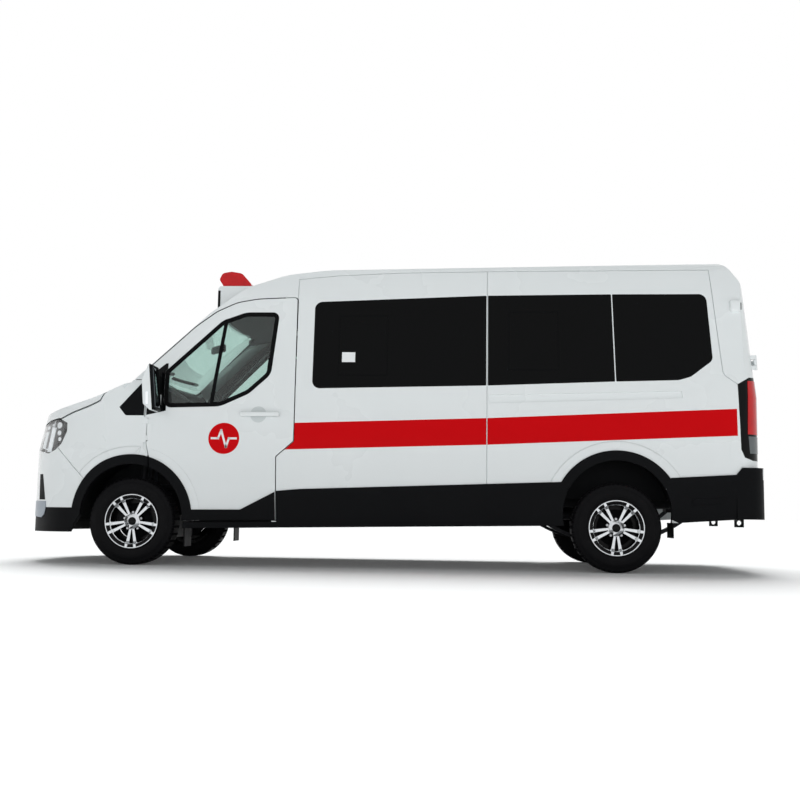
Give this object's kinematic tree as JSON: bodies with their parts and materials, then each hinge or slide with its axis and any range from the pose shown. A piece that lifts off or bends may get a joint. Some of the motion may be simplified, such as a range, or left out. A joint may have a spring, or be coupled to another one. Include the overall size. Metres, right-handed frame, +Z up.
{
  "type": "van ambulance",
  "caption": "White mid-roof van ambulance with red side stripes, a roof light bar, dark side glass, barn rear doors and alloy wheels.",
  "frame": {"origin": "on the ground at mid-length on the centre line", "axes": "+X to the rear, nose towards -X, +Y to the van's right side, +Z up"},
  "size_m": [5.9796, 2.474, 2.481],
  "materials": {
    "white_paint": "gloss",
    "dark_plastic": "matte",
    "gloss_black": "gloss",
    "clear_glass": "clear",
    "dark_glass": "tinted",
    "clear_lens": "clear",
    "red_lens": "gloss",
    "alloy": "machined",
    "tyre": "matte",
    "steel": "matte",
    "chassis_black": "satin",
    "interior": "matte",
    "seat_fabric": "woven",
    "rubber": "matte"
  },
  "bodies": {
    "body": {"roof": "white_paint", "side_panel_left": "white_paint", "sliding_door_right": "white_paint", "rear_quarters": "white_paint", "rear_corners": "white_paint", "tail_lamps": "red_lens", "fenders": "white_paint", "front_bumper": "white_paint", "front_valance": "dark_plastic", "grille": "gloss_black", "headlamp_housings": "gloss_black", "headlamp_lenses": "clear_lens", "windscreen": "clear_glass", "side_glass": "dark_glass", "cladding": "dark_plastic", "floor": "chassis_black", "firewall": "interior", "partition": "interior", "wheel_liners": "dark_plastic", "dashboard": "interior", "seats": "seat_fabric", "engine": "steel", "radiator": "steel", "front_suspension": "chassis_black", "rear_axle": "steel", "leaf_springs": "steel", "rear_bumper": "dark_plastic", "chassis_rails": "chassis_black", "cross_members": "chassis_black", "fuel_tank": "dark_plastic", "light_bar_base": "white_paint", "light_bar_lens": "red_lens", "mudflaps": "rubber"},
    "hood_lid": {"hood": "white_paint"},
    "steering": {"steering_wheel": "interior"},
    "door_front_left": {"front_door_left": "white_paint", "front_door_glass_left": "clear_glass", "front_door_trim_left": "dark_plastic", "mirror_left": "white_paint"},
    "door_rear_left": {"rear_door_left": "white_paint", "rear_door_glass_left": "dark_glass"},
    "upright_left": {"knuckle_left": "steel"},
    "wheel_front_left": {"rim_front_left": "alloy", "tyre_front_left": "tyre"},
    "wheel_rear_left": {"rim_rear_left": "alloy", "tyre_rear_left": "tyre"},
    "door_front_right": {"front_door_right": "white_paint", "front_door_glass_right": "clear_glass", "front_door_trim_right": "dark_plastic", "mirror_right": "white_paint"},
    "door_rear_right": {"rear_door_right": "white_paint", "rear_door_glass_right": "dark_glass"},
    "upright_right": {"knuckle_right": "steel"},
    "wheel_front_right": {"rim_front_right": "alloy", "tyre_front_right": "tyre"},
    "wheel_rear_right": {"rim_rear_right": "alloy", "tyre_rear_right": "tyre"}
  },
  "joints": [
    {"name": "hood_hinge", "type": "hinge", "parent": "body", "child": "hood_lid", "pos_m": [-2.097, 0, 1.462], "axis": [0, 1, 0], "range_deg": [0, 55]},
    {"name": "steering_column", "type": "hinge", "parent": "body", "child": "steering", "pos_m": [-1.39, -0.43, 1.25], "axis": [0.866, 0, 0.5], "range_deg": [-540, 540]},
    {"name": "front_door_left_hinge", "type": "hinge", "parent": "body", "child": "door_front_left", "pos_m": [-1.851, -1.006, 1.2], "axis": [0, 0, -1], "range_deg": [0, 68]},
    {"name": "rear_door_left_hinge", "type": "hinge", "parent": "body", "child": "door_rear_left", "pos_m": [2.905, -0.882, 0.815], "axis": [0.046, 0, -0.9989], "range_deg": [0, 180]},
    {"name": "steer_left", "type": "hinge", "parent": "body", "child": "upright_left", "pos_m": [-1.965, -0.77, 0.235], "axis": [0, 0.1904, 0.9817], "range_deg": [-33, 33]},
    {"name": "wheel_front_left_spin", "type": "hinge", "parent": "upright_left", "child": "wheel_front_left", "pos_m": [-1.965, -0.871, 0.34], "axis": [0, 1, 0], "continuous": true},
    {"name": "wheel_rear_left_spin", "type": "hinge", "parent": "body", "child": "wheel_rear_left", "pos_m": [1.785, -0.871, 0.34], "axis": [0, 1, 0], "continuous": true},
    {"name": "front_door_right_hinge", "type": "hinge", "parent": "body", "child": "door_front_right", "pos_m": [-1.851, 1.006, 1.2], "axis": [0, 0, 1], "range_deg": [0, 68]},
    {"name": "rear_door_right_hinge", "type": "hinge", "parent": "body", "child": "door_rear_right", "pos_m": [2.905, 0.882, 0.815], "axis": [-0.046, 0, 0.9989], "range_deg": [0, 180]},
    {"name": "steer_right", "type": "hinge", "parent": "body", "child": "upright_right", "pos_m": [-1.965, 0.77, 0.235], "axis": [0, -0.1904, 0.9817], "range_deg": [-33, 33]},
    {"name": "wheel_front_right_spin", "type": "hinge", "parent": "upright_right", "child": "wheel_front_right", "pos_m": [-1.965, 0.871, 0.34], "axis": [0, 1, 0], "continuous": true},
    {"name": "wheel_rear_right_spin", "type": "hinge", "parent": "body", "child": "wheel_rear_right", "pos_m": [1.785, 0.871, 0.34], "axis": [0, 1, 0], "continuous": true}
  ],
  "couplings": [
    {"joint": "steer_right", "follows": "steer_left", "ratio": 1},
    {"joint": "steering_column", "follows": "steer_left", "ratio": 16.36}
  ]
}
